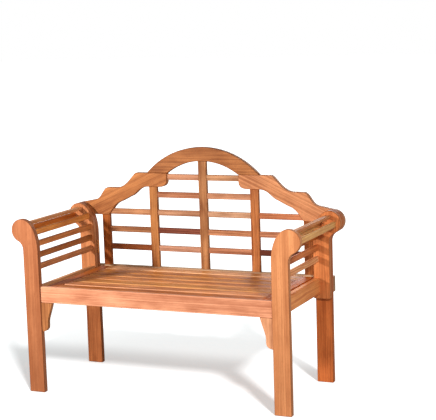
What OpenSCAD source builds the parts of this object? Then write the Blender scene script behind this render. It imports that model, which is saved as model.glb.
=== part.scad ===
// Two-seat folding garden bench in oiled hardwood.
// The seat tips up on two bolts at its rear; the arm frames then swing in on butt hinges.
// Millimetres. The bench stands on z = 0, its front faces -y, and the origin is the middle of its footprint.

/* [Overall] */
// Width over the outer faces of the legs
bench_w = 1140; // [1060:1:1300]
// Depth from the front legs to the back of the back panel
bench_d = 530; // [490:1:600]
// Height of the seat slats' top
seat_h = 434; // [410:1:460]
// Height of the top of the arm scrolls
arm_h = 711; // [690:1:740]
// Height of the crown of the arched top
back_h = 955; // [930:1:1010]

/* [Legs] */
// Width of a leg, seen from the front
leg_w = 70; // [60:1:78]
// Thickness of the leg boards
leg_t = 22.5; // [20:0.5:26]
// Radius of the scroll head
scroll_r = 47; // [42:1:52]
// How far the scroll's centre stands outside the leg
scroll_out = 2; // [0:0.5:6]
// Radius of the cove under the scroll head
cove_r = 40; // [30:1:50]
// Height from the leg's inner shoulder to the top of the scroll
shoulder_h = 126; // [110:1:135]
// How far the short hinged post reaches below the side rail
post_drop = 21; // [10:1:30]

/* [Back panel] */
// Thickness of the arch, the wings and the back rail
panel_t = 24; // [22:0.5:28]
// Height of the arch from its feet to its crown
arch_rise = 112; // [100:1:125]
// Depth of the arch board at its crown
arch_crown = 59; // [50:1:68]
// Distance from the middle to the arch's outer foot
arch_half = 257; // [252:1:268]
// Distance from the middle to the arch's inner foot
arch_inner = 162; // [150:1:175]
// Height of the wing board at its inner end
wing_end_h = 60; // [52:1:68]
// How far the wing reaches past the middle stile's centre
wing_reach = 68; // [60:1:80]
// How far the wing reaches below the top of the scroll
wing_drop = 54; // [50:1:60]
// Width of an upright stile
stile_w = 38; // [32:1:44]
// Thickness of the stiles
stile_t = 16; // [14:0.5:20]
// Gap between the rear leg and the outer stile
stile_gap = 17; // [10:1:24]
// Height of a back slat
slat_h = 25; // [20:1:30]
// Thickness of a back slat
slat_t = 12; // [10:0.5:14]
// Height of the lowest back slat above the back rail
lowest_gap = 68; // [60:1:80]
// Distance from the wing's top down to the first row
row_drop = 4; // [2:0.5:6]

/* [Seat] */
// Thickness of the apron
apron_t = 20; // [18:0.5:24]
// Height of the apron, the side rails and the back rail
rail_h = 65; // [58:1:72]
// How far the apron stands above the slats
apron_lip = 4; // [2:0.5:6]
// How far the apron is set back from the legs' front
apron_inset = 4; // [2:0.5:8]
// Gap between the apron's end and the leg
apron_gap = 1.5; // [1:0.5:4]
// Width of a seat slat
seat_slat_w = 57.5; // [50:0.5:60]
// Thickness of a seat slat
seat_slat_t = 12; // [10:0.5:13]
// Gap between the apron and the first slat
first_gap = 2; // [1:0.5:8]
// Width of the seat's side rails
seat_rail_w = 48; // [40:1:54]
// Thickness of the seat's side rails
seat_rail_t = 21; // [19:0.5:22]
// Gap between a seat rail and the rear leg beside it
seat_rail_gap = 10.5; // [9:0.5:14]
// Width of the two bearers under the slats
bearer_w = 44; // [36:1:50]
// Thickness of the bearers
bearer_t = 12; // [10:0.5:13]
// Distance from the middle to each bearer
bearer_x = 158; // [130:1:180]

/* [Arm frames] */
// Thickness of the side rail
side_rail_t = 22.5; // [18:0.5:24]
// How far the side rail stands back from the leg's inner edge
arm_inset = 5; // [3:0.5:8]
// How far the straight slats stand back from the leg's inner edge
arm_slat_inset = 12; // [8:0.5:16]
// Width of an arm slat
arm_slat_w = 24; // [20:0.5:27]
// Thickness of an arm slat
arm_slat_t = 12; // [10:0.5:14]
// Distance from one arm slat to the next, on the straight part
arm_pitch = 47; // [44:0.5:50]
// Distance from the top of the scroll down to the third slat below the roll
arm_drop = 183; // [178:1:186]
// Height of the bracket under the apron
bracket_h = 121; // [110:1:140]
// Width of the bracket at its top
bracket_w = 51; // [44:1:60]
// Thickness of the bracket
bracket_t = 18; // [14:0.5:20]

/* [Fastenings] */
// Clearance round a tenon
tenon_gap = 0.1; // [0.05:0.05:0.2]
// Length of the tenons
tenon_l = 10; // [8:0.5:12]
// Diameter of the seat's pivot bolts
pivot_d = 6; // [5:0.5:7]
// Radial clearance of the pivot bolts in the seat rails
pivot_gap = 0.08; // [0.05:0.01:0.1]
// Clearance between the folded seat and the back panel
fold_gap = 1.5; // [1:0.5:3]
// Length of a butt hinge
hinge_l = 56; // [48:1:60]
// Width of a hinge leaf
hinge_leaf_w = 20; // [16:1:26]
// Thickness of a hinge leaf
hinge_leaf_t = 1.5; // [1:0.25:2]
// Gap between the lower hinge and the pivot bolt's spacer
hinge_gap = 4.5; // [2:0.5:6]
// Height of the upper hinge's middle above the side rail
hinge_rise = 82; // [70:1:100]
// Diameter of the hinge knuckle
knuckle_d = 7.6; // [6:0.2:8]
// Diameter of the frame bolts
bolt_d = 8; // [6:0.5:9]
// Diameter of the frame bolts' heads
bolt_head_d = 16; // [14:0.5:18]
// Diameter of the slat screws
screw_d = 4; // [3:0.5:4.5]

/* [Hidden] */
$fn = 48;
seat_slats = 7;
rows = 5;
curve_steps = 14;
scroll_steps = 24;
seat_clear = 0.3;
slip = 0.05;

// Planes from front to back
y_front = -bench_d / 2;
y_back = bench_d / 2;
y_panel = y_back - panel_t;
y_rear_leg = y_panel - leg_t;
y_post = y_rear_leg - leg_t;
y_leg_back = y_front + leg_t;
y_apron = y_front + apron_inset;
y_apron_back = y_apron + apron_t;
y_mid_panel = y_panel + panel_t / 2;

// Distances from the middle
x_outer = bench_w / 2;
x_inner = x_outer - leg_w;
x_stile_outer = x_inner - stile_gap - stile_w / 2;
x_stile_mid = x_stile_outer / 2;
x_seat_rail = x_inner - seat_rail_gap;
x_slat_end = x_seat_rail - seat_rail_w;

// Heights
z_rail_top = seat_h + apron_lip;
z_rail_bottom = z_rail_top - rail_h;
z_spring = back_h - arch_rise;
z_shelf = (arm_h + z_spring) / 2;
z_wing_bottom = arm_h - wing_drop;
z_wing_end = z_spring - wing_end_h;
row_pitch = (z_spring - row_drop - slat_h - z_rail_top - lowest_gap) / (rows - 1);

// Seat pivot: the apron's top and the last slat's rear edge swing to just short of the back panel
z_pivot = seat_h - seat_rail_t / 2;
swing_r = z_rail_top - z_pivot;
y_pivot = y_panel - fold_gap - swing_r;
y_slat_first = y_apron_back + first_gap;
y_slat_last = y_pivot + sqrt(swing_r * swing_r - pow(seat_h - z_pivot, 2));
seat_pitch = (y_slat_last - y_slat_first - seat_slat_w) / (seat_slats - 1);

// Arm slats as [low corner, size], from the roll down, with distances out from the leg's inner edge.
// The first three lie on the scroll head, at shares of its radius from its centre, and the first lies flat
scroll_at = [leg_w + scroll_out, arm_h - scroll_r];
flat = [arm_slat_w, arm_slat_t];
upright = [arm_slat_t, arm_slat_w];
z_arm_low = arm_h - arm_drop - arm_slat_w;
function on_scroll(out, up, size) = [scroll_at + scroll_r * [out, up] - size / 2, size];
function straight(step) = [[arm_slat_inset, z_arm_low + step * arm_pitch], upright];
arm_slats = [
  on_scroll(-0.12, 0.51, flat), on_scroll(0.47, -0.13, upright), on_scroll(-0.98, -0.18, upright),
  straight(2), straight(1), straight(0)
];

// Hinge centres, and the hinge pin's line
knuckle_out = 0.7;
hinge_z = [z_pivot - pivot_d - hinge_gap - hinge_l / 2, z_rail_top + hinge_rise];
x_hinge = x_inner - knuckle_out - knuckle_d / 2;

// Bolts from the back panel into the rear leg, as [distance from the middle, height]
bolt_at = [[x_outer - bolt_d, arm_h - scroll_r], [x_inner + leg_w / 2, (z_rail_top + z_rail_bottom) / 2]];
bolt_head_t = 5;
bolt_sink = 1;
bolt_cover = 6;
bolt_l = panel_t + leg_t - bolt_sink - bolt_cover;
pin_proud = 1;
pivot_start = x_slat_end + 4;

light_wood = "#eca878";
warm_wood = "#d68450";
brown_wood = "#aa6c46";
dark_wood = "#8a4630";
steel = "#b9bcc0";

// Points of a cubic curve from a to d, without its first point
function curve(a, b, c, d, n = curve_steps) =
  [for (i = [1 : n]) let (t = i / n, s = 1 - t)
    s * s * s * a + 3 * s * s * t * b + 3 * s * t * t * c + t * t * t * d];

// Points of an arc about centre, from angle a to angle b
function arc(centre, r, a, b, n = curve_steps) =
  [for (i = [0 : n]) let (g = a + (b - a) * i / n) centre + r * [cos(g), sin(g)]];

// Outline of a leg with its scroll; the first coordinate runs outward from the leg's inner edge
function leg_outline(bottom) =
  let (
    cove = [leg_w + cove_r, scroll_at[1] - sqrt(pow(scroll_r + cove_r, 2) - pow(cove_r - scroll_out, 2))],
    meet = atan2(cove[1] - scroll_at[1], cove[0] - scroll_at[0])
  )
  concat(
    [[0, bottom], [leg_w, bottom]],
    arc(cove, cove_r, 180, 180 + meet),
    arc(scroll_at, scroll_r, meet, 90, scroll_steps),
    curve(
      [scroll_at[0], arm_h], [0.31 * leg_w, arm_h],
      [0, arm_h - 0.56 * shoulder_h], [0, arm_h - shoulder_h]
    )
  );

// Places on a wing: a share of the way out from the middle stile to the leg, and a share of
// the way up its top edge, from the scroll to the shelf, or up its under edge to its inner end
function across(f) = x_stile_mid + f * (x_inner - x_stile_mid);
function on_top(f) = arm_h + f * (z_shelf - arm_h);
function under(f) = z_wing_bottom + f * (z_wing_end - z_wing_bottom);

// Outline of a wing; the first coordinate is the distance from the middle
function wing_outline() =
  let (
    x_tip = x_stile_mid - wing_reach,
    z_tip = row_z(1) - wing_end_h / 30
  )
  concat(
    [[x_tip, z_spring], [across(0.28), z_spring]],
    curve(
      [across(0.28), z_spring], [across(0.35), z_spring],
      [across(0.45), z_shelf], [across(0.655), z_shelf]
    ),
    curve(
      [across(0.8), z_shelf], [across(0.91), z_shelf],
      [across(0.92), on_top(0.2)], [across(1.06), on_top(0.17)]
    ),
    arc([x_inner, 0] + scroll_at, scroll_r, 90, -50, scroll_steps),
    [[x_inner + leg_w / 4, z_wing_bottom]],
    curve(
      [across(0.805), under(0)], [across(0.76), under(0.09)],
      [across(0.7), under(0.36)], [across(0.6), under(0.45)]
    ),
    curve(
      [across(0.6), under(0.45)], [across(0.48), under(0.55)],
      [across(0.42), under(0.64)], [across(0.365), under(0.68)]
    ),
    curve(
      [across(0.365), under(0.68)], [across(0.27), under(0.79)],
      [across(0.23), under(1)], [across(0.085), under(1)]
    ),
    curve(
      [x_tip + wing_end_h * 2 / 3, under(1)], [x_tip + wing_end_h / 5, under(1)],
      [x_tip, under(1) + wing_end_h / 5], [x_tip, z_tip]
    )
  );

// Box between two corners
module block(low, high) {
  translate(low) cube(high - low);
}

// Flat board of the given outline in the x-z plane, from y to y + t
module board(outline, y, t) {
  translate([0, y + t, 0]) rotate([90, 0, 0]) linear_extrude(t) polygon(outline);
}

// Draws its children on the left (-1) or on the right (1)
module on_side(side) {
  mirror([side < 0 ? 1 : 0, 0, 0]) children();
}

// Tenon along x from x0 to x1 on the back panel's middle plane, grown by a clearance
module panel_tenon(x0, x1, z, grow) {
  block(
    [x0 - grow, y_mid_panel - slat_t / 4 - grow, z + slat_h / 6 - grow],
    [x1 + grow, y_mid_panel + slat_t / 4 + grow, z + slat_h * 5 / 6 + grow]
  );
}

// Spans of the back slats in a row, on one side, as [inner end, outer end]
function row_spans(row) =
  let (
    inner = stile_w / 2,
    mid = x_stile_mid - stile_w / 2,
    next = x_stile_mid + stile_w / 2,
    outer = x_stile_outer - stile_w / 2
  )
  row == 1 ? [[inner, x_stile_mid - wing_reach]] : row == 2 ? [[inner, mid]] : [[inner, mid], [next, outer]];

function row_z(row) = z_spring - row_drop - slat_h - (row - 1) * row_pitch;

// Whether a span's outer end is scribed to the under edge of the wing and has no tenon there
function in_wing(row, span) = row > 1 && span[1] > x_stile_mid && row_z(row) + slat_h > z_wing_bottom;

// Tenons at both ends of every back slat on one side
module row_tenons(grow) {
  for (row = [1 : rows], span = row_spans(row)) {
    panel_tenon(span[0] - tenon_l, span[0], row_z(row), grow);
    panel_tenon(span[1], span[1] + tenon_l, row_z(row), grow);
  }
}

module wing_board(grow = 0) {
  board(wing_outline(), y_panel - grow, panel_t + 2 * grow);
}

module wing(side) {
  color(light_wood) on_side(side) difference() {
    wing_board();
    row_tenons(tenon_gap);
    stile_tenons(tenon_gap);
    bolt_holes();
  }
}

module back_slats(row, side) {
  color(row == 3 ? dark_wood : warm_wood) on_side(side) for (span = row_spans(row)) {
    difference() {
      block(
        [span[0], y_mid_panel - slat_t / 2, row_z(row)],
        [span[1], y_mid_panel + slat_t / 2, row_z(row) + slat_h]
      );
      wing_board(1);
    }
    panel_tenon(span[0] - tenon_l, span[0], row_z(row), 0);
    if (!in_wing(row, span)) panel_tenon(span[1], span[1] + tenon_l, row_z(row), 0);
  }
}

// Top of each stile: under the arch in the middle, under the wing elsewhere
function stile_top(x) = x < stile_w ? back_h - arch_crown : x < x_stile_mid + 1 ? z_wing_end : z_wing_bottom;

// Tenons at the tops and feet of the stiles on one side
module stile_tenons(grow) {
  for (x = [0, x_stile_mid, x_stile_outer]) {
    for (z = [z_rail_top - tenon_l, stile_top(x) - tenon_l]) block(
      [x - stile_w / 4 - grow, y_mid_panel - stile_t / 4 - grow, z - grow],
      [x + stile_w / 4 + grow, y_mid_panel + stile_t / 4 + grow, z + 2 * tenon_l + grow]
    );
  }
}

module stile(x, side) {
  color(warm_wood) on_side(side) difference() {
    union() {
      block(
        [x - stile_w / 2, y_mid_panel - stile_t / 2, z_rail_top],
        [x + stile_w / 2, y_mid_panel + stile_t / 2, stile_top(x)]
      );
      intersection() {
        stile_tenons(0);
        block(
          [x - stile_w / 2, y_panel, z_rail_top - tenon_l],
          [x + stile_w / 2, y_back, stile_top(x) + tenon_l]
        );
      }
    }
    row_tenons(tenon_gap);
    if (x < stile_w) mirror([1, 0, 0]) row_tenons(tenon_gap);
    if (x < stile_w) arch_board();
  }
}

// Radius of an arc from its rise and half its chord
function arc_radius(rise, half) = (half * half + rise * rise) / (2 * rise);

module arch_board() {
  outer_r = arc_radius(arch_rise, arch_half);
  inner_r = arc_radius(arch_rise - arch_crown, arch_inner);
  translate([0, y_back, 0]) rotate([90, 0, 0]) linear_extrude(panel_t) difference() {
    intersection() {
      translate([0, back_h - outer_r]) circle(outer_r, $fn = 240);
      translate([-arch_half, z_spring]) square([2 * arch_half, arch_rise]);
    }
    translate([0, back_h - arch_crown - inner_r]) circle(inner_r, $fn = 240);
  }
}

module top_arch() {
  color(light_wood) difference() {
    arch_board();
    stile_tenons(tenon_gap);
  }
}

module back_rail() {
  color(light_wood) difference() {
    block([-x_outer, y_panel, z_rail_bottom], [x_outer, y_back, z_rail_top]);
    for (side = [-1, 1]) on_side(side) {
      stile_tenons(tenon_gap);
      bolt_holes();
    }
  }
}

// Frame bolts: each head is sunk in the back panel, and its shank ends inside the rear leg
module frame_bolts() {
  color(steel) for (side = [-1, 1], p = bolt_at) on_side(side)
    translate([p[0], y_back - bolt_sink, p[1]]) rotate([90, 0, 0]) {
      cylinder(h = bolt_l, d = bolt_d);
      cylinder(h = bolt_head_t, d = bolt_head_d);
    }
}

module bolt_holes() {
  for (p = bolt_at) translate([p[0], y_back, p[1]]) rotate([90, 0, 0]) {
    cylinder(h = bolt_sink + bolt_l, d = bolt_d + 2 * slip);
    translate([0, 0, -1]) cylinder(h = 1 + bolt_sink + bolt_head_t, d = bolt_head_d + 2 * slip);
  }
}

// The seat's pivot bolt: shank from inside the seat rail, through it, into the rear leg's edge
module pivot_bolt(grow) {
  translate([pivot_start, y_pivot, z_pivot]) rotate([0, 90, 0])
    cylinder(h = x_inner + leg_w / 2 - pivot_start + grow, d = pivot_d + 2 * grow);
}

module seat_pivot_bolts() {
  collar_l = seat_rail_gap - 2 * seat_clear;
  color(steel) for (side = [-1, 1]) on_side(side) {
    pivot_bolt(0);
    translate([x_inner - seat_clear - collar_l, y_pivot, z_pivot]) rotate([0, 90, 0])
      cylinder(h = collar_l, d = 2 * pivot_d);
  }
}

module leg(y, bottom) {
  translate([x_inner, 0, 0]) board(leg_outline(bottom), y, leg_t);
}

module rear_leg(side) {
  color(warm_wood) on_side(side) difference() {
    leg(y_rear_leg, 0);
    bolt_holes();
    pivot_bolt(slip);
    leaf_sinks(y_rear_leg, 1);
  }
}

module rear_post(side) {
  color(warm_wood) on_side(side) difference() {
    leg(y_post, z_rail_bottom - post_drop);
    arm_tenons(tenon_gap);
    leaf_sinks(y_rear_leg, -1);
  }
}

module front_leg(side) {
  color(warm_wood) on_side(side) difference() {
    leg(y_front, 0);
    arm_tenons(tenon_gap);
  }
}

// Tenons of the side rail and of the arm slats, into the front leg and the short post
module arm_tenons(grow) {
  for (y = [y_leg_back - tenon_l, y_post]) {
    for (slat = arm_slats) {
      low = [x_inner, 0] + slat[0] + slat[1] / 6;
      high = [x_inner, 0] + slat[0] + slat[1] * 5 / 6;
      block([low[0] - grow, y - grow, low[1] - grow], [high[0] + grow, y + tenon_l + grow, high[1] + grow]);
    }
    block(
      [x_inner + arm_inset + side_rail_t / 4 - grow, y - grow, z_rail_bottom + rail_h / 6 - grow],
      [x_inner + arm_inset + side_rail_t * 3 / 4 + grow, y + tenon_l + grow, z_rail_top - rail_h / 6 + grow]
    );
  }
}

// A bar of the arm frame between the front leg and the short post, with the tenons that lie in it
module arm_bar(x, z, w, h) {
  block([x, y_leg_back, z], [x + w, y_post, z + h]);
  intersection() {
    arm_tenons(0);
    block([x, y_leg_back - tenon_l, z], [x + w, y_post + tenon_l, z + h]);
  }
}

module side_rail(side) {
  color(brown_wood) on_side(side) arm_bar(x_inner + arm_inset, z_rail_bottom, side_rail_t, rail_h);
}

module arm_slat(i, side) {
  low = arm_slats[i - 1][0];
  size = arm_slats[i - 1][1];
  color(i == 5 ? dark_wood : brown_wood) on_side(side) arm_bar(x_inner + low[0], low[1], size[0], size[1]);
}

// Bracket on the front leg's inner edge, just under the apron
module bracket(side) {
  top = z_rail_bottom - seat_clear;
  function at(out, down) = [bracket_w * out, top - bracket_h * down];
  color(warm_wood) on_side(side) translate([x_inner, 0, 0]) mirror([1, 0, 0]) board(
    concat(
      [at(0, 1), at(0, 0), at(1, 0)],
      curve(at(1, 0), at(0.93, 0.15), at(0.72, 0.35), at(0.59, 0.55)),
      curve(at(0.59, 0.55), at(0.5, 0.68), at(0.62, 0.82), at(0.46, 0.9)),
      curve(at(0.46, 0.9), at(0.38, 0.95), at(0.26, 0.97), at(0.1, 0.98))
    ),
    y_apron, bracket_t
  );
}

// Shallow beds for the hinge leaves, in the rear leg (1) or in the short post (-1)
module leaf_sinks(y, way) {
  for (z = hinge_z) block(
    [x_inner - 1, min(y, y + way * hinge_leaf_t), z - hinge_l / 2 - slip],
    [x_inner + hinge_leaf_w + slip, max(y, y + way * hinge_leaf_t), z + hinge_l / 2 + slip]
  );
}

// One half of a butt hinge: its leaf, and its share of the knuckle
module hinge_leaf(z, way) {
  third = hinge_l / 3;
  parts = way > 0 ? [0, 2] : [1];
  difference() {
    union() {
      block(
        [x_hinge, y_rear_leg + (way > 0 ? 0 : -hinge_leaf_t), z - hinge_l / 2],
        [x_inner + hinge_leaf_w, y_rear_leg + (way > 0 ? hinge_leaf_t : 0), z + hinge_l / 2]
      );
      for (k = parts) translate([x_hinge, y_rear_leg, z - hinge_l / 2 + k * third])
        cylinder(h = third, d = knuckle_d);
    }
    for (k = [0 : 2]) if (len(search(k, parts)) == 0)
      translate([x_hinge, y_rear_leg, z - hinge_l / 2 + k * third])
        cylinder(h = third, d = knuckle_d + 2 * slip);
    hinge_pin(z, slip);
  }
}

module hinge_pin(z, grow) {
  translate([x_hinge, y_rear_leg, z - hinge_l / 2 - pin_proud])
    cylinder(h = hinge_l + 2 * pin_proud, d = knuckle_d / 2 + 2 * grow);
}

module hinge_leaves(way) {
  color(steel) for (side = [-1, 1], z = hinge_z) on_side(side) hinge_leaf(z, way);
}

module hinge_pins() {
  color(steel) for (side = [-1, 1], z = hinge_z) on_side(side) hinge_pin(z, 0);
}

module apron() {
  half = x_inner - apron_gap;
  color(light_wood) block([-half, y_apron, z_rail_bottom], [half, y_apron_back, z_rail_top]);
}

// Tenon of one seat slat into the seat rail on the right, set forward so that the last one clears the pivot
module seat_tenon(i, grow) {
  y = y_slat_first + (i - 1) * seat_pitch;
  block(
    [x_slat_end - grow, y + seat_slat_w / 5 - grow, seat_h - seat_slat_t * 3 / 4 - grow],
    [x_slat_end + tenon_l + grow, y + seat_slat_w * 3 / 5 + grow, seat_h - seat_slat_t / 4 + grow]
  );
}

module seat_slat(i) {
  y = y_slat_first + (i - 1) * seat_pitch;
  color(brown_wood) difference() {
    union() {
      block([-x_slat_end, y, seat_h - seat_slat_t], [x_slat_end, y + seat_slat_w, seat_h]);
      for (side = [-1, 1]) on_side(side) seat_tenon(i, 0);
    }
    screws(slip);
  }
}

// Seat rail with a round rear end about the pivot bolt
module seat_rail(side) {
  r = seat_rail_t / 2;
  color(brown_wood) on_side(side) difference() {
    union() {
      block([x_slat_end, y_apron_back, seat_h - seat_rail_t], [x_seat_rail, y_pivot, seat_h]);
      translate([x_slat_end, y_pivot, z_pivot]) rotate([0, 90, 0]) cylinder(h = seat_rail_w, r = r);
    }
    translate([x_slat_end - 1, y_pivot, z_pivot]) rotate([0, 90, 0])
      cylinder(h = seat_rail_w + 2, d = pivot_d + 2 * pivot_gap);
    for (i = [1 : seat_slats]) seat_tenon(i, tenon_gap);
  }
}

// Screws up through the bearers into the slats, two for each slat
module screws(grow) {
  head_t = 2.5;
  top = seat_h - seat_slat_t / 3;
  bottom = seat_h - seat_slat_t - bearer_t;
  for (x = [-bearer_x, bearer_x], dx = [-bearer_w / 4, bearer_w / 4], i = [1 : seat_slats])
    translate([x + dx, y_slat_first + (i - 0.5) * seat_pitch - (seat_pitch - seat_slat_w) / 2, bottom]) {
      translate([0, 0, -grow]) cylinder(h = top - bottom + 2 * grow, d = screw_d + 2 * grow);
      translate([0, 0, -grow]) cylinder(h = head_t + 2 * grow, d = 2 * screw_d + 2 * grow);
    }
}

module slat_screws() {
  color(steel) screws(0);
}

module bearer(side) {
  color(brown_wood) difference() {
    on_side(side) block(
      [bearer_x - bearer_w / 2, y_apron_back, seat_h - seat_slat_t - bearer_t],
      [bearer_x + bearer_w / 2, y_slat_last, seat_h - seat_slat_t]
    );
    screws(slip);
  }
}

rear_leg(-1);  // rear_leg_left
rear_leg(1);  // rear_leg_right
back_rail();
wing(-1);  // wing_left
wing(1);  // wing_right
top_arch();
stile(0, 1);  // stile_centre
stile(x_stile_mid, -1);  // stile_mid_left
stile(x_stile_mid, 1);  // stile_mid_right
stile(x_stile_outer, -1);  // stile_outer_left
stile(x_stile_outer, 1);  // stile_outer_right
back_slats(1, -1);  // back_slat_1_left
back_slats(1, 1);  // back_slat_1_right
back_slats(2, -1);  // back_slat_2_left
back_slats(2, 1);  // back_slat_2_right
back_slats(3, -1);  // back_slats_3_left
back_slats(3, 1);  // back_slats_3_right
back_slats(4, -1);  // back_slats_4_left
back_slats(4, 1);  // back_slats_4_right
back_slats(5, -1);  // back_slats_5_left
back_slats(5, 1);  // back_slats_5_right
frame_bolts();
front_leg(-1);  // front_leg_left
front_leg(1);  // front_leg_right
rear_post(-1);  // rear_post_left
rear_post(1);  // rear_post_right
side_rail(-1);  // side_rail_left
side_rail(1);  // side_rail_right
bracket(-1);  // bracket_left
bracket(1);  // bracket_right
for (i = [1 : 6]) {
  arm_slat(i, -1);
  arm_slat(i, 1);
}
hinge_leaves(1);  // hinge_leaves_leg
hinge_leaves(-1);  // hinge_leaves_post
hinge_pins();
apron();
seat_rail(-1);  // seat_rail_left
seat_rail(1);  // seat_rail_right
bearer(-1);  // bearer_left
bearer(1);  // bearer_right
for (i = [1 : seat_slats]) seat_slat(i);
seat_pivot_bolts();
slat_screws();
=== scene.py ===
# Two-seat folding garden bench in oiled hardwood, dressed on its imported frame.
# Metres. The bench stands on z = 0, its front faces -y, and the origin is the middle of its footprint.
import math
import bpy
import numpy as np
from mathutils import Matrix, Vector


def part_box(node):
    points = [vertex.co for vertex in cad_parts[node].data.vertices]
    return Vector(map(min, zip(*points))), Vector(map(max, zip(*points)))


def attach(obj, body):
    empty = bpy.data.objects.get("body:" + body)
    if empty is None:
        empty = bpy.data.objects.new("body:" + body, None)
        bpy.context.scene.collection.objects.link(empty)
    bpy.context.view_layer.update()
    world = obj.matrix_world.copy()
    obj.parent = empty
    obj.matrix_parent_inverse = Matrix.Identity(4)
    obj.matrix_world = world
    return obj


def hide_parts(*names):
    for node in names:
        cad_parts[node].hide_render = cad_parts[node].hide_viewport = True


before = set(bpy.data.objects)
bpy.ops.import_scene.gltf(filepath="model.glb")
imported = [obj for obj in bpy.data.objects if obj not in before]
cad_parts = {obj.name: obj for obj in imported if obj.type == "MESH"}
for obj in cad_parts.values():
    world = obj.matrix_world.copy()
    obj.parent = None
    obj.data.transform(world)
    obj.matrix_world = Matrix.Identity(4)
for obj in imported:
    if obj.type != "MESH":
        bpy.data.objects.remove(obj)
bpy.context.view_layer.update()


# Rear legs
# Two boards that run the full height and end in a scroll, cut from glued-up hardwood strips.
# The rims are eased with a router, and the back panel is bolted on behind them.

SIDES = ("left", "right")
leg_low, leg_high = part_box("rear_leg_right")
LEG_W = 0.070
SCROLL_R = 0.047
COVE_R = 0.040
SHOULDER_H = 0.126
SHOULDER_FULL = (0.31, 0.56)
FOOT_R = 0.0045
LEG_EASE = 0.0030
EASE_STEPS = 4
FACE_HOLD = 0.0006
x_inner = leg_low.x
x_outer = x_inner + LEG_W
arm_top = leg_high.z
scroll = np.array((leg_high.x - SCROLL_R, arm_top - SCROLL_R))


def arc(centre, radius, start, end, count=24):
    """Points of a circle: centre + radius * (cos, sin) of angles from start to end, in degrees."""
    angle = np.radians(np.linspace(start, end, count + 1))
    return np.asarray(centre) + radius * np.stack((np.cos(angle), np.sin(angle)), axis=1)


def cubic(a, b, c, d, count=24):
    """Points of a cubic curve with ends a and d and handles b and c, without its first point."""
    t = np.linspace(0, 1, count + 1)[1:, None]
    a, b, c, d = (np.asarray(p, float) for p in (a, b, c, d))
    return (1 - t) ** 3 * a + 3 * (1 - t) ** 2 * t * b + 3 * (1 - t) * t ** 2 * c + t ** 3 * d


def on_side(side, outline):
    """The outline itself for the right side, and its mirror image for the left one. Both run
    counterclockwise."""
    return outline if side == "right" else outline[::-1] * (-1, 1)


def eased_board(name, outline, near, far, ease, through="y"):
    """Board with eased rims. The outline runs counterclockwise in the plane across `through`.
    Its section is a path: flat face, quarter circle, edge, quarter circle, flat face. At angle t of a
    quarter the outline is moved inward by ease * (1 - sin t) and lies ease * (1 - cos t) under the face.
    One more point, FACE_HOLD beyond each end of a quarter, keeps face and edge flat in shading.
    The grid's two parameters are the place along the outline and the place along the section."""
    back = outline - np.roll(outline, 1, axis=0)
    ahead = np.roll(outline, -1, axis=0) - outline
    before = np.stack((back[:, 1], -back[:, 0]), axis=1) / np.linalg.norm(back, axis=1, keepdims=True)
    after = np.stack((ahead[:, 1], -ahead[:, 0]), axis=1) / np.linalg.norm(ahead, axis=1, keepdims=True)
    miter = (before + after) / (1 + np.sum(before * after, axis=1, keepdims=True))
    t = np.linspace(0, math.pi / 2, EASE_STEPS + 1)
    inset = np.concatenate(([ease + FACE_HOLD], ease * (1 - np.sin(t)), [0]))
    sunk = np.concatenate(([0], ease * (1 - np.cos(t)), [ease + FACE_HOLD]))
    inset = np.concatenate((inset, inset[::-1]))
    depth = np.concatenate((near + sunk, far - sunk[::-1]))
    flat = outline[:, None, :] - miter[:, None, :] * inset[None, :, None]
    across = {"x": (1, 2), "y": (0, 2), "z": (0, 1)}[through]
    grid = np.empty((len(outline), len(depth), 3))
    grid[:, :, across[0]] = flat[:, :, 0]
    grid[:, :, across[1]] = flat[:, :, 1]
    grid[:, :, "xyz".index(through)] = depth
    rows, columns = grid.shape[:2]
    s, u = np.meshgrid(np.arange(rows), np.arange(columns - 1), indexing="ij")
    here = s * columns + u
    beside = (s + 1) % rows * columns + u
    quads = np.stack((here, here + 1, beside + 1, beside), axis=2).reshape(-1, 4)
    near_cap = np.arange(rows) * columns
    far_cap = near_cap[::-1] + columns - 1
    if through != "y":
        quads, near_cap, far_cap = quads[:, ::-1], near_cap[::-1], far_cap[::-1]
    faces = quads.tolist() + [near_cap.tolist(), far_cap.tolist()]
    mesh = bpy.data.meshes.new(name)
    mesh.from_pydata(grid.reshape(-1, 3).tolist(), [], faces)
    mesh.polygons.foreach_set("use_smooth", np.ones(len(mesh.polygons), bool))
    board = bpy.data.objects.new(name, mesh)
    bpy.context.scene.collection.objects.link(board)
    return board


def leg_outline(bottom):
    """Outline of the right leg: square foot, straight edge, cove, scroll head and shoulder. The shoulder
    is a cubic curve whose handles leave SHOULDER_FULL of its width and height to their corner."""
    cove = np.array((x_outer + COVE_R, 0.0))
    cove[1] = scroll[1] - math.sqrt((SCROLL_R + COVE_R) ** 2 - (cove[0] - scroll[0]) ** 2)
    meet = math.degrees(math.atan2(cove[1] - scroll[1], cove[0] - scroll[0]))
    return np.concatenate((
        arc((x_inner + FOOT_R, bottom + FOOT_R), FOOT_R, 180, 270, 4),
        arc((x_outer - FOOT_R, bottom + FOOT_R), FOOT_R, 270, 360, 4),
        arc(cove, COVE_R, 180, 180 + meet, 30),
        arc(scroll, SCROLL_R, meet, 90, 60)[1:],
        cubic(
            (scroll[0], arm_top), (x_inner + SHOULDER_FULL[0] * LEG_W, arm_top),
            (x_inner, arm_top - SHOULDER_FULL[1] * SHOULDER_H), (x_inner, arm_top - SHOULDER_H), 40
        ),
    ))


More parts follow.
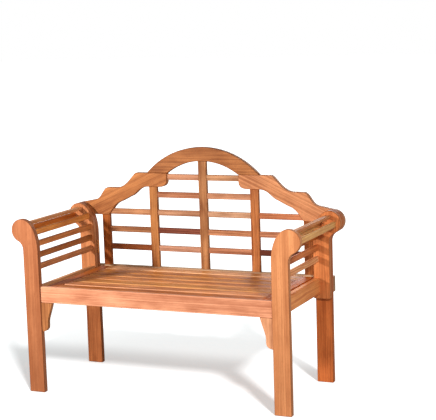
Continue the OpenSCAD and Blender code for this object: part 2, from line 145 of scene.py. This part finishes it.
class Wire:
    """A socket of a finish. Sums, differences, products and quotients of wires add Math nodes."""

    def __init__(self, finish, socket):
        self.finish = finish
        self.socket = socket

    def math(self, operation, *others):
        sockets = dict(enumerate((self, *others)))
        return self.finish.add("ShaderNodeMath", {"operation": operation}, sockets)

    def __add__(self, other):
        return self.math("ADD", other)

    def __sub__(self, other):
        return self.math("SUBTRACT", other)

    def __rsub__(self, other):
        return self.finish.add("ShaderNodeMath", {"operation": "SUBTRACT"}, {0: other, 1: self})

    def __mul__(self, other):
        return self.math("MULTIPLY", other)

    def __truediv__(self, other):
        return self.math("DIVIDE", other)

    def __pow__(self, other):
        return self.math("POWER", other)

    __radd__ = __add__
    __rmul__ = __mul__


class Finish:
    """A material or a world being made, on the shader that it starts with."""

    def __init__(self, owner, shader="Principled BSDF"):
        self.owner = owner
        self.owner.use_nodes = True
        self.tree = owner.node_tree
        self.shader = self.tree.nodes[shader]

    def add(self, kind, settings=None, sockets=None, out=0):
        """Adds a node: first its settings, then the values or wires of its sockets."""
        node = self.tree.nodes.new(kind)
        for key, value in (settings or {}).items():
            setattr(node, key, value)
        for key, value in (sockets or {}).items():
            self.plug(node.inputs[key], value)
        return Wire(self, node.outputs[out])

    def plug(self, socket, value):
        if isinstance(value, Wire):
            self.tree.links.new(value.socket, socket)
        else:
            socket.default_value = value

    def feed(self, socket, value):
        """Plugs a value or wire into a socket of the shader."""
        self.plug(self.shader.inputs[socket], value)

    def blend(self, factor, a, b, how="MIX"):
        """Colour b over colour a, by a Mix node."""
        settings = {"data_type": "RGBA", "blend_type": how}
        return self.add("ShaderNodeMix", settings, {0: factor, 6: a, 7: b}, out=2)

    def part(self, vector, axis):
        """The x, y or z of a vector."""
        return self.add("ShaderNodeSeparateXYZ", None, {0: vector}, out="xyz".index(axis))

    def noise(self, place, stretch, detail, rough=0.5):
        """Noise whose grains are one unit long after the place is multiplied by a stretch."""
        scaled = self.add("ShaderNodeVectorMath", {"operation": "MULTIPLY"}, {0: place, 1: stretch})
        sockets = {"Vector": scaled, "Scale": 1.0, "Detail": detail, "Roughness": rough}
        return self.add("ShaderNodeTexNoise", None, sockets)

    def step(self, value, low, high):
        """0 below low, 1 above high, and a smooth ramp between."""
        sockets = {"Value": value, "From Min": low, "From Max": high}
        return self.add("ShaderNodeMapRange", {"interpolation_type": "SMOOTHSTEP"}, sockets)


def paint(red, green, blue, share=(1.0, 1.0, 1.0)):
    """Linear colour of a paint chart's 0 to 255 values, each channel multiplied by a share."""
    chart = np.array((red, green, blue)) / 255
    linear = np.where(chart <= 0.04045, chart / 12.92, ((chart + 0.055) / 1.055) ** 2.4)
    return (*np.clip(linear * share, 0, 1).tolist(), 1.0)


# Marks of the timber: how often each comes in a metre, along the grain and both ways across it
SWAY = (2.2, 7, 7)
STREAK = (3.0, 120, 120)
BAND = (1.3, 26, 26)
CLOUD = (9, 20, 20)
FLECK = (70, 260, 260)
PORE = (45, 900, 900)
RINGS = 230

# Colours of its marks, ends and edges, and of the painted shade on its rims, as shares of the plank's own
# tone
LATE_WOOD = (0.47, 0.37, 0.31)
EARLY_WOOD = (1.33, 1.48, 1.60)
OPEN_PORE = (0.46, 0.32, 0.24)
SHADED_STRIP = (0.66, 0.55, 0.48)
END_GRAIN = (0.48, 0.38, 0.32)
SAWN_EDGE = (0.80, 0.92, 1.02)
# Painted shade: every eased rim is darkened, which draws dark lines along the board's edges
PAINTED_RIM_SHADE = (0.42, 0.30, 0.24)

# How a plank is turned so that its grain lies along x, before its pattern is worked out, and how far
# the pattern moves from one glued strip to the next
TURNED = {"x": (0, 0, 0), "y": (0, 0, -math.pi / 2), "z": (0, math.pi / 2, 0)}
STRIP_HOP = (0.37, 0.061, 0.023)
plank_rng = np.random.default_rng(7)


def timber(name, tone, grain="z", face="y", figure=1.0, strips=None, rim=PAINTED_RIM_SHADE):
    """Oiled hardwood, with its grain along an axis or at an angle in the board's plane, and its broad
    sides across the axis `face`. Growth rings are circles about a pith line beside the plank, bent by
    slow noise, and each ring has its own depth of colour. Over them lie long streaks, broad slow bands,
    soft clouds, short flecks and fine open pores, whose contrast is the figure. Boards glued up of
    strips, given as their first edge and width, change tone and grain from strip to strip. Sawn ends
    drink more oil and go darker, and sawn edges weather toward grey. Each eased rim takes its own share
    of the tone: painted shade unless a painted highlight share is given."""
    wood = Finish(bpy.data.materials.new(name))
    shift = plank_rng.uniform(-4, 4, 3)
    pith = plank_rng.uniform((0.04, 0.02), (0.10, 0.06))
    where = wood.add("ShaderNodeTexCoord", out="Object")
    normal = wood.add("ShaderNodeTexCoord", out="Normal")
    turn = TURNED[grain] if isinstance(grain, str) else (0, grain, 0)
    plank = wood.add("ShaderNodeMapping", None, {"Vector": where, "Location": shift, "Rotation": turn})
    if strips:
        number = ((wood.part(where, "x") - strips[0]) / strips[1]).math("FLOOR")
        hop = wood.add("ShaderNodeVectorMath", {"operation": "SCALE"}, {0: STRIP_HOP, "Scale": number})
        plank = wood.add("ShaderNodeVectorMath", {"operation": "ADD"}, {0: plank, 1: hop})

    sway = wood.noise(plank, SWAY, 2.0)
    across = wood.part(plank, "y") - shift[1] + pith[0] + sway * 0.07
    through = wood.part(plank, "z") - shift[2] + pith[1]
    reach = (across * across + through * through) ** 0.5
    sockets = {"W": reach * RINGS, "Scale": 1.0, "Detail": 1.0}
    ring = wood.add("ShaderNodeTexNoise", {"noise_dimensions": "1D"}, sockets)
    streak = wood.noise(plank, STREAK, 3.0, 0.6)
    band = wood.noise(plank, BAND, 2.0)
    cloud = wood.noise(plank, CLOUD, 2.0)
    fleck = wood.step(wood.noise(plank, FLECK, 2.0), 0.55, 0.72)
    pore = wood.step(wood.noise(plank, PORE, 2.0), 0.56, 0.70)

    tint = ring * 0.24 + streak * 0.26 + band * 0.24 + cloud * 0.26
    spread = 0.19 / figure
    depth = wood.step(tint, 0.5 - spread, 0.5 + spread)
    colour = wood.blend(depth, paint(*tone, LATE_WOOD), paint(*tone, EARLY_WOOD))
    colour = wood.blend(pore * 0.30 + fleck * 0.22, colour, paint(*tone, OPEN_PORE))
    if strips:
        sockets = {"W": number + shift[0]}
        chance = wood.add("ShaderNodeTexWhiteNoise", {"noise_dimensions": "1D"}, sockets)
        colour = wood.blend(chance * 0.45, colour, paint(*tone, SHADED_STRIP))

    # 1 on the broad sides, 0 on the edges, and about a half on the rims between them
    facing = wood.part(normal, face)
    broad = facing * facing
    if face == "y":
        sawn = wood.blend(1.0, colour, (*SAWN_EDGE, 1), "MULTIPLY")
        colour = wood.blend((1 - broad) * 0.6, colour, sawn)
    # Painted light on the rims: darkened as painted shade, or brightened where a painted highlight share is
    # given
    colour = wood.blend(broad * (1 - broad) * 3.2, colour, paint(*tone, rim))
    if isinstance(grain, str):
        ending = wood.part(normal, grain)
        end = wood.step(ending * ending, 0.7, 0.95)
        colour = wood.blend(end * 0.55, colour, paint(*tone, END_GRAIN))

    wood.feed("Base Color", colour)
    wood.feed("Roughness", 0.62 - streak * 0.20)
    height = streak * 0.6 - pore * 0.6
    sockets = {"Height": height, "Strength": 0.35, "Distance": 0.0004}
    wood.feed("Normal", wood.add("ShaderNodeBump", None, sockets))
    wood.feed("Specular IOR Level", 0.10)
    return wood.owner


def fit(piece, material, nodes, body="frame"):
    """Gives a finished piece its material and slot, hides the CAD nodes it stands for, and lets it ride."""
    piece.data.materials.append(material)
    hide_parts(*nodes)
    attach(piece, body)


STRIPS = {"left": (-x_inner, LEG_W / 3), "right": (x_inner, LEG_W / 3)}
# The left leg's tone is darker than the right's, partly its own and partly painted shade for the dimmer
# light on the bench's left side
REAR_LEG_TONES = {"left": (175, 100, 55), "right": (205, 110, 55)}
for side in SIDES:
    outline = on_side(side, leg_outline(0.0))
    leg = eased_board("rear_leg_board_" + side, outline, leg_low.y, leg_high.y, LEG_EASE)
    wood = timber("rear leg " + side, REAR_LEG_TONES[side], strips=STRIPS[side])
    fit(leg, wood, ["rear_leg_" + side])


# Back rail and stiles
# A long rail behind the legs carries five uprights, tenoned into it and into the boards above.
# They are thinner than the rail and sit on its middle line. Round sinkings behind take the bolt heads.

BAR_EASE = 0.0022
BAR_END_EASE = 0.0008
BAR_HOLD = 0.0005
BROAD_RAIL_EASE = 0.0030
BROAD_RAIL_END_EASE = 0.0015
HEAD_SINK_R = 0.0083
HEAD_SINK = 0.006
PLUG_PROUD = 0.002


def rounded_rectangle(low, high, radius):
    """Outline of a rectangle with quarter-circle corners, and a point BAR_HOLD beside each end of a
    quarter that keeps the sides flat in shading."""
    points = []
    corners = ((high[0], low[1], 270), (high[0], high[1], 0), (low[0], high[1], 90), (low[0], low[1], 180))
    for x, y, start in corners:
        inward = (radius if x == low[0] else -radius, radius if y == low[1] else -radius)
        quarter = arc((x + inward[0], y + inward[1]), radius, start, start + 90, 4)
        angle = math.radians(start)
        enter = np.array((math.sin(angle), -math.cos(angle))) * BAR_HOLD
        leave = np.array((math.cos(angle), math.sin(angle))) * -BAR_HOLD
        points += [quarter[:1] + enter, quarter, quarter[-1:] + leave]
    return np.concatenate(points)


def bar(name, low, high, along, ease=BAR_EASE, end_ease=BAR_END_EASE):
    """Straight bar between two corners: a rounded rectangle carried along one axis."""
    i = "xyz".index(along)
    a, b = (axis for axis in range(3) if axis != i)
    outline = rounded_rectangle((low[a], low[b]), (high[a], high[b]), ease)
    return eased_board(name, outline, low[i], high[i], end_ease, through=along)


def sink(board, spots, back):
    """Cuts a round flat-bottomed sinking at each spot (x, z) into the board's back face."""
    turns = np.linspace(0, 2 * math.pi, 40, endpoint=False)
    ring = HEAD_SINK_R * np.stack((np.cos(turns), np.sin(turns)), axis=1)
    ends = np.array((back - HEAD_SINK, back + PLUG_PROUD))
    s = np.arange(len(ring))
    following = (s + 1) % len(s)
    walls = np.stack((s, following, following + len(s), s + len(s)), axis=1)
    faces = walls[:, ::-1].tolist() + [s.tolist(), (s[::-1] + len(s)).tolist()]
    for x, z in spots:
        plug = np.empty((2, len(ring), 3))
        plug[:, :, 0] = x + ring[:, 0]
        plug[:, :, 1] = ends[:, None]
        plug[:, :, 2] = z + ring[:, 1]
        mesh = bpy.data.meshes.new("plug")
        mesh.from_pydata(plug.reshape(-1, 3).tolist(), [], faces)
        cutter = bpy.data.objects.new("plug", mesh)
        bpy.context.scene.collection.objects.link(cutter)
        cut = board.modifiers.new("sinking", "BOOLEAN")
        cut.object = cutter
        cut.solver = "EXACT"
        whole = board.data
        finished = board.evaluated_get(bpy.context.evaluated_depsgraph_get())
        board.data = bpy.data.meshes.new_from_object(finished)
        board.data.name = board.name
        board.modifiers.clear()
        bpy.data.meshes.remove(whole)
        bpy.data.objects.remove(cutter)
        bpy.data.meshes.remove(mesh)


RAIL_BOLT_X = 0.535
rail_low, rail_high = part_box("back_rail")
back_rail = bar("back_rail_board", rail_low, rail_high, "x", BROAD_RAIL_EASE, BROAD_RAIL_END_EASE)
rail_middle = (rail_low.z + rail_high.z) / 2
sink(back_rail, ((-RAIL_BOLT_X, rail_middle), (RAIL_BOLT_X, rail_middle)), rail_high.y)
fit(back_rail, timber("back rail", (205, 160, 120), "x"), ["back_rail"])

STILE_TONES = {
    "centre": (175, 115, 70), "mid_left": (170, 105, 55), "mid_right": (185, 110, 60),
    "outer_left": (155, 80, 30), "outer_right": (155, 85, 40),
}
for place, tone in STILE_TONES.items():
    low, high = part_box("stile_" + place)
    stile = bar("stile_bar_" + place, low, high, "z")
    fit(stile, timber("stile " + place, tone, figure=1.3), ["stile_" + place])


# Back slats
# Sixteen thin slats between the uprights, each end tenoned in. They come from mixed planks,
# so their tones run from pale orange to dark maroon.

SLAT_EASE = 0.0018
SLAT_TONES = {
    "back_slat_1_left": ((185, 125, 90),), "back_slat_1_right": ((185, 130, 90),),
    "back_slat_2_left": ((180, 115, 80),), "back_slat_2_right": ((185, 125, 90),),
    "back_slats_3_left": ((185, 130, 95), (180, 120, 80)),
    "back_slats_3_right": ((190, 140, 105), (190, 115, 75)),
    "back_slats_4_left": ((130, 70, 50), (150, 95, 60)),
    "back_slats_4_right": ((190, 125, 85), (180, 115, 80)),
    "back_slats_5_left": ((190, 135, 105), (150, 80, 40)),
    "back_slats_5_right": ((190, 125, 90), (95, 45, 30)),
}
mid_stile = {side: sum(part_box("stile_mid_" + side), Vector()).x / 2 for side in SIDES}
for node, tones in SLAT_TONES.items():
    side = node.rsplit("_", 1)[1]
    points = np.array([v.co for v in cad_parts[node].data.vertices])
    inner = np.abs(points[:, 0]) < abs(mid_stile[side])
    for number, (tone, span) in enumerate(zip(tones, (points[inner], points[~inner]))):
        name = node.replace("slats", "slat") + ("_inner", "_outer")[number]
        slat = bar(name + "_bar", span.min(0), span.max(0), "x", SLAT_EASE)
        wood = timber(name.replace("_", " "), tone, "x", figure=1.2)
        fit(slat, wood, [node])


# Arch and wings
# The crown is a curved board between two shaped wings that run down to the arm scrolls.
# All three are sawn to shape from wide boards and bolted to the rear legs from behind.

arch_low, arch_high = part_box("top_arch")
ARCH_CROWN = 0.059
ARCH_INNER = 0.162
ARCH_EASE = 0.0030


def bow(rise, half, top, count):
    """Arc of the circle through (-half, top - rise), (0, top) and (half, top - rise), from the right.
    Its radius is (half^2 + rise^2) / (2 * rise), and it starts below the centre where the rise is
    more than the radius."""
    radius = (half * half + rise * rise) / (2 * rise)
    foot = math.degrees(math.acos(half / radius))
    if rise > radius:
        foot = -foot
    return arc((0, top - radius), radius, foot, 180 - foot, count)


# The outer arc leaves out the points next to its sharp feet, where an eased rim would fold
arch_rise = arch_high.z - arch_low.z
arch_outer = np.delete(bow(arch_rise, arch_high.x, arch_high.z, 120), (1, 2, -3, -2), axis=0)
arch_under = bow(arch_rise - ARCH_CROWN, ARCH_INNER, arch_high.z - ARCH_CROWN, 90)
arch_outline = np.concatenate((arch_outer, arch_under[::-1]))
arch = eased_board("arch_board", arch_outline, arch_low.y, arch_high.y, ARCH_EASE)
fit(arch, timber("arch", (165, 100, 55), "x", figure=1.2), ["top_arch"])

WING_END_H = 0.060
WING_REACH = 0.068
WING_DROP = 0.054
wing_low, wing_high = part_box("wing_right")
z_spring = wing_high.z
z_shelf = (arm_top + z_spring) / 2
z_wing_bottom = arm_top - WING_DROP
z_wing_end = z_spring - WING_END_H
row_one_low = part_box("back_slat_1_right")[0].z


def wing_outline():
    """Outline of the right wing: tongue under the arch, shelf, scroll, and the waved under edge.
    Its points are shares of the way from the stile to the leg, and up each edge's own height."""
    x_mid = mid_stile["right"]
    tip = x_mid - WING_REACH

    def at(out, z):
        return (x_mid + out * (x_inner - x_mid), z)

    def top(share):
        return arm_top + share * (z_shelf - arm_top)

    def under(share):
        return z_wing_bottom + share * (z_wing_end - z_wing_bottom)

    edge = np.concatenate((
        [(tip, z_spring), at(0.28, z_spring)],
        cubic(at(0.28, z_spring), at(0.35, z_spring), at(0.45, z_shelf), at(0.655, z_shelf)),
        cubic(at(0.8, z_shelf), at(0.91, z_shelf), at(0.92, top(0.2)), at(1.06, top(0.17))),
        arc(scroll, SCROLL_R, 90, -50, 40),
        [(x_inner + LEG_W / 4, z_wing_bottom)],
        [at(0.805, under(0))],
        cubic(at(0.805, under(0)), at(0.76, under(0.09)), at(0.7, under(0.36)), at(0.6, under(0.45))),
        cubic(at(0.6, under(0.45)), at(0.48, under(0.55)), at(0.42, under(0.64)), at(0.365, under(0.68))),
        cubic(at(0.365, under(0.68)), at(0.27, under(0.79)), at(0.23, under(1)), at(0.085, under(1))),
        cubic(
            (tip + WING_END_H * 2 / 3, under(1)), (tip + WING_END_H / 5, under(1)),
            (tip, under(1) + WING_END_H / 5), (tip, row_one_low - WING_END_H / 30)
        ),
    ))
    return edge[::-1]


WING_BOLTS = {"left": (-0.562, 0.664), "right": (0.562, 0.664)}
WING_SLOPES = {"left": math.radians(24), "right": math.radians(-24)}
# The left wing's tone is darker than the right's, partly its own and partly painted shade for the dimmer
# light on the bench's left side
WING_TONES = {"left": (180, 110, 60), "right": (200, 130, 85)}
for side in SIDES:
    outline = on_side(side, wing_outline())
    wing = eased_board("wing_board_" + side, outline, wing_low.y, wing_high.y, ARCH_EASE)
    sink(wing, [WING_BOLTS[side]], wing_high.y)
    wood = timber("wing " + side, WING_TONES[side], WING_SLOPES[side])
    fit(wing, wood, ["wing_" + side])


# Arm frames
# Each arm is a ladder: a scrolled front leg and a short scrolled post at the back, joined by a
# deep side rail and six slats that follow the roll. The post is hinged to the rear leg.

front_low, front_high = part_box("front_leg_right")
post_low, post_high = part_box("rear_post_right")
# The left leg's tone is darker than the right's, partly its own and partly painted shade for the dimmer
# light on the bench's left side
FRONT_LEG_TONES = {"left": (175, 105, 65), "right": (210, 135, 85)}
POST_TONES = {"left": (205, 130, 80), "right": (210, 125, 70)}
for side in SIDES:
    outline = on_side(side, leg_outline(0.0))
    leg = eased_board("front_leg_board_" + side, outline, front_low.y, front_high.y, LEG_EASE)
    wood = timber("front leg " + side, FRONT_LEG_TONES[side], figure=0.6, strips=STRIPS[side])
    fit(leg, wood, ["front_leg_" + side])
    outline = on_side(side, leg_outline(post_low.z))
    post = eased_board("post_board_" + side, outline, post_low.y, post_high.y, LEG_EASE)
    wood = timber("post " + side, POST_TONES[side], strips=STRIPS[side])
    fit(post, wood, ["rear_post_" + side])

ARM_TONES = {
    "left": (
        (215, 145, 90), (195, 110, 45), (235, 145, 70), (190, 115, 60), (170, 100, 50), (200, 130, 80)
    ),
    "right": (
        (215, 140, 85), (255, 175, 105), (255, 175, 105), (215, 115, 45), (205, 115, 60), (255, 160, 105)
    ),
}
# The left rail's tone is darker than the right's, partly its own and partly painted shade for the dimmer
# light on the bench's left side
SIDE_RAIL_TONES = {"left": (200, 135, 85), "right": (255, 145, 80)}
for side in SIDES:
    rail = bar("side_rail_bar_" + side, *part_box("side_rail_" + side), "y")
    wood = timber("side rail " + side, SIDE_RAIL_TONES[side], "y", "x")
    fit(rail, wood, ["side_rail_" + side])
    for number, tone in enumerate(ARM_TONES[side], 1):
        node = f"arm_slat_{number}_{side}"
        slat = bar(node + "_bar", *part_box(node), "y")
        wood = timber(node.replace("_", " "), tone, "y", "z")
        fit(slat, wood, [node])


# Brackets
# A shaped knee under each end of the apron, sawn from an offcut and glued to the leg's inner edge.
# Its rims are eased less than the legs', because its curves are tight.

BRACKET_EASE = 0.0012
bracket_low, bracket_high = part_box("bracket_right")


def bracket_outline():
    """Outline of the right bracket, as shares of its width and height from its upper outer corner."""
    corner = np.array((bracket_high.x, bracket_high.z))
    size = np.array((bracket_high.x - bracket_low.x, bracket_high.z - bracket_low.z))

    def at(out, down):
        return corner - size * (out, down)

    return np.concatenate((
        [at(0, 1), at(0, 0), at(1, 0)],
        cubic(at(1, 0), at(0.93, 0.15), at(0.72, 0.35), at(0.59, 0.55)),
        cubic(at(0.59, 0.55), at(0.5, 0.68), at(0.62, 0.82), at(0.46, 0.9)),
        cubic(at(0.46, 0.9), at(0.38, 0.95), at(0.26, 0.97), at(0.1, 0.98)),
    ))


# The left bracket's tone is darker than the right's, partly its own and partly painted shade for the dimmer
# light on the bench's left side
BRACKET_TONES = {"left": (170, 105, 60), "right": (225, 155, 110)}
for side in SIDES:
    outline = on_side(side, bracket_outline())
    near, far = bracket_low.y, bracket_high.y
    bracket = eased_board("bracket_board_" + side, outline, near, far, BRACKET_EASE)
    wood = timber("bracket " + side, BRACKET_TONES[side])
    fit(bracket, wood, ["bracket_" + side])


# Seat
# The apron, two side rails and two bearers carry seven slats. The whole seat turns up on two bolts
# through the rails' rounded rear ends. The rims of the apron and the slats are painted paler, as painted
# highlights, brightest on the rearmost slat.

# Painted highlight: the apron's rims are paler than its faces
APRON_RIM_HIGHLIGHT = (1.11, 1.20, 1.25)
apron_low, apron_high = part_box("apron")
apron = bar("apron_board", apron_low, apron_high, "x", BROAD_RAIL_EASE, BROAD_RAIL_END_EASE)
wood = timber("apron", (230, 150, 110), "x", rim=APRON_RIM_HIGHLIGHT)
fit(apron, wood, ["apron"], "seat")

SEAT_RAIL_EASE = 0.0014
# The left rail's darker tone is partly its own and partly painted shade for the shade on its top
SEAT_RAIL_TONES = {"left": (170, 85, 25), "right": (185, 95, 35)}
for side in SIDES:
    low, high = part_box("seat_rail_" + side)
    radius = (high.z - low.z) / 2
    profile = np.concatenate((
        arc((low.y + BAR_EASE, low.z + BAR_EASE), BAR_EASE, 180, 270, 4),
        arc((high.y - radius, low.z + radius), radius, -90, 90, 24),
        arc((low.y + BAR_EASE, high.z - BAR_EASE), BAR_EASE, 90, 180, 4),
    ))
    rail = eased_board("seat_rail_bar_" + side, profile, low.x, high.x, SEAT_RAIL_EASE, through="x")
    wood = timber("seat rail " + side, SEAT_RAIL_TONES[side], "y", "z")
    fit(rail, wood, ["seat_rail_" + side], "seat")

SEAT_SLAT_EASE = 0.0028
# Painted highlights: the seat slats' rims are paler than their faces, brightest on the rearmost slat
SLAT_RIM_HIGHLIGHT = (1.08, 1.55, 2.70)
REAR_SLAT_RIM_HIGHLIGHT = (1.25, 1.90, 3.30)
SEAT_TONES = (
    (175, 95, 35), (215, 135, 80), (205, 130, 65), (205, 125, 65),
    (195, 120, 60), (195, 115, 50), (225, 150, 90),
)
slat_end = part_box("seat_rail_right")[0].x
for number, tone in enumerate(SEAT_TONES, 1):
    node = f"seat_slat_{number}"
    low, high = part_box(node)
    low.x, high.x = -slat_end, slat_end
    slat = bar(node + "_bar", low, high, "x", SEAT_SLAT_EASE)
    rim = REAR_SLAT_RIM_HIGHLIGHT if number == len(SEAT_TONES) else SLAT_RIM_HIGHLIGHT
    wood = timber(node.replace("_", " "), tone, "x", "z", 1.3, rim=rim)
    fit(slat, wood, [node], "seat")

for side in SIDES:
    bearer = bar("bearer_bar_" + side, *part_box("bearer_" + side), "y")
    wood = timber("bearer " + side, (185, 110, 65), "y", "z")
    fit(bearer, wood, ["bearer_" + side], "seat")


# Fastenings
# Zinc-plated bolts and screws, and butt hinges of bronzed steel that match the timber. Both platings
# are dull, with faint brush lines and darker blotches where they have begun to weather.


def plating(name, dull, bright):
    """Brushed metal whose dull and bright colours change place in blotches."""
    metal = Finish(bpy.data.materials.new(name))
    place = metal.add("ShaderNodeTexCoord", out="Object")
    blotch = metal.step(metal.noise(place, (140, 140, 140), 3.0), 0.42, 0.62)
    brushed = metal.noise(place, (900, 900, 60), 2.0)
    metal.feed("Base Color", metal.blend(blotch, paint(*dull), paint(*bright)))
    metal.feed("Roughness", 0.32 + brushed * 0.25)
    metal.feed("Metallic", 1.0)
    return metal.owner


zinc = plating("weathered zinc", (155, 155, 160), (205, 205, 210))
rusted = plating("browned screws", (90, 60, 45), (150, 125, 105))
bronze = plating("bronzed steel", (180, 115, 65), (225, 165, 105))
for node, metal in (
    ("frame_bolts", zinc), ("seat_pivot_bolts", zinc), ("slat_screws", rusted),
    ("hinge_leaves_leg", bronze), ("hinge_leaves_post", bronze), ("hinge_pins", bronze),
):
    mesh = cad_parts[node].data
    mesh.materials.clear()
    mesh.materials.append(metal)


# Studio
# A white floor, a soft box low on each side of the front, a weak one behind, and a pale sky all round.
# The soft boxes light the bench alone, and a lamp beside the right one lays the shadow on the floor.
# The floor's glow for the camera is painted light, stronger behind the bench and far from it, which
# makes the shadow pale toward its far end.

FLOOR = 40.0
floor_corners = [(-FLOOR, -FLOOR, 0), (FLOOR, -FLOOR, 0), (FLOOR, FLOOR, 0), (-FLOOR, FLOOR, 0)]
floor_mesh = bpy.data.meshes.new("floor")
floor_mesh.from_pydata(floor_corners, [], [(0, 1, 2, 3)])
floor = bpy.data.objects.new("floor", floor_mesh)
bpy.context.scene.collection.objects.link(floor)
ground = Finish(bpy.data.materials.new("floor"))
camera_ray = ground.add("ShaderNodeLightPath", out="Is Camera Ray")
place = ground.add("ShaderNodeTexCoord", out="Object")
away = ground.add("ShaderNodeVectorMath", {"operation": "LENGTH"}, {0: place}, out=1)
# Painted light: the floor glows for the camera, more behind the bench and far from it, paling the shadow
# there
SHADOW_GLOW = 0.48
glow_behind = ground.step(ground.part(place, "y"), 0.30, 0.56) * 0.25
glow_afar = ground.step(away, 0.7, 1.4) * 0.15
ground.feed("Base Color", ground.blend(camera_ray, (0.8, 0.8, 0.8, 1), (0.97, 0.99, 1, 1)))
ground.feed("Roughness", 1.0)
ground.feed("Specular IOR Level", 0.0)
ground.feed("Emission Color", (0.97, 1, 1, 1))
ground.feed("Emission Strength", camera_ray * (SHADOW_GLOW + (glow_behind + glow_afar)))
floor_mesh.materials.append(ground.owner)

SKY = 0.18
world = bpy.data.worlds.new("studio")
bpy.context.scene.world = world
sky = Finish(world, "Background")
camera_ray = sky.add("ShaderNodeLightPath", out="Is Camera Ray")
glossy_ray = sky.add("ShaderNodeLightPath", out="Is Glossy Ray")
sky.feed("Strength", camera_ray.math("MAXIMUM", glossy_ray) * (1 - SKY) + SKY)
sky.feed("Color", (1, 1, 1, 1))


def toward(azimuth, elevation):
    """Unit vector to a place in the sky, by its azimuth from the front toward the right."""
    azimuth, elevation = math.radians(azimuth), math.radians(elevation)
    flat = math.cos(elevation)
    return Vector((math.sin(azimuth) * flat, -math.cos(azimuth) * flat, math.sin(elevation)))


LAMP_AWAY = 2.4
SEAT_MIDDLE = Vector((0, 0, 0.4))


def lamp(name, kind, level, size, way, floor_too=False):
    """Lamp aimed at the seat, which lights a face square to it to the given share of its colour.
    It lights either the floor alone or everything but the floor. The size is metres of a soft box,
    or degrees of a sun."""
    data = bpy.data.lights.new(name, kind)
    if kind == "SUN":
        data.energy = math.pi * level
        data.angle = math.radians(size)
    else:
        data.energy = (math.pi * LAMP_AWAY) ** 2 * level
        data.size = size
    made = bpy.data.objects.new(name, data)
    made.location = SEAT_MIDDLE + LAMP_AWAY * way
    made.rotation_euler = way.to_track_quat("Z", "Y").to_euler()
    bpy.context.scene.collection.objects.link(made)
    lit = bpy.data.collections.new(name + " lit")
    lit.objects.link(floor)
    lit.collection_objects[0].light_linking.link_state = "INCLUDE" if floor_too else "EXCLUDE"
    made.light_linking.receiver_collection = lit


lamp("left soft box", "AREA", 1.03, 0.20, toward(-38, 22))
lamp("right soft box", "AREA", 0.53, 0.20, toward(44, 25))
lamp("back soft box", "AREA", 0.30, 1.2, toward(180, 18))
lamp("floor lamp", "SUN", 1.05, 6, toward(40, 31), floor_too=True)

# The camera stands to the front right at the height of a standing viewer's chest
CAMERA_YAW, CAMERA_PITCH, CAMERA_ROLL = 0.4197, -0.1463, 0.0321
CAMERA_AT = (2.2477, -4.6411, 1.481)
FOCAL_PIXELS = 1298.184
PHOTO_W = 436
camera_data = bpy.data.cameras.new("camera")
camera_data.sensor_width = 36.0
camera_data.lens = camera_data.sensor_width * FOCAL_PIXELS / PHOTO_W
camera = bpy.data.objects.new("camera", camera_data)
bpy.context.scene.collection.objects.link(camera)
forward = Vector((
    -math.sin(CAMERA_YAW) * math.cos(CAMERA_PITCH),
    math.cos(CAMERA_YAW) * math.cos(CAMERA_PITCH),
    math.sin(CAMERA_PITCH),
))
level_right = Vector((math.cos(CAMERA_YAW), math.sin(CAMERA_YAW), 0))
level_up = level_right.cross(forward)
camera_right = math.cos(CAMERA_ROLL) * level_right - math.sin(CAMERA_ROLL) * level_up
camera_up = math.sin(CAMERA_ROLL) * level_right + math.cos(CAMERA_ROLL) * level_up
stand = Matrix((camera_right, camera_up, -forward)).transposed().to_4x4()
stand.translation = Vector(CAMERA_AT)
camera.matrix_world = stand
bpy.context.scene.camera = camera
bpy.context.scene.view_settings.view_transform = "Standard"
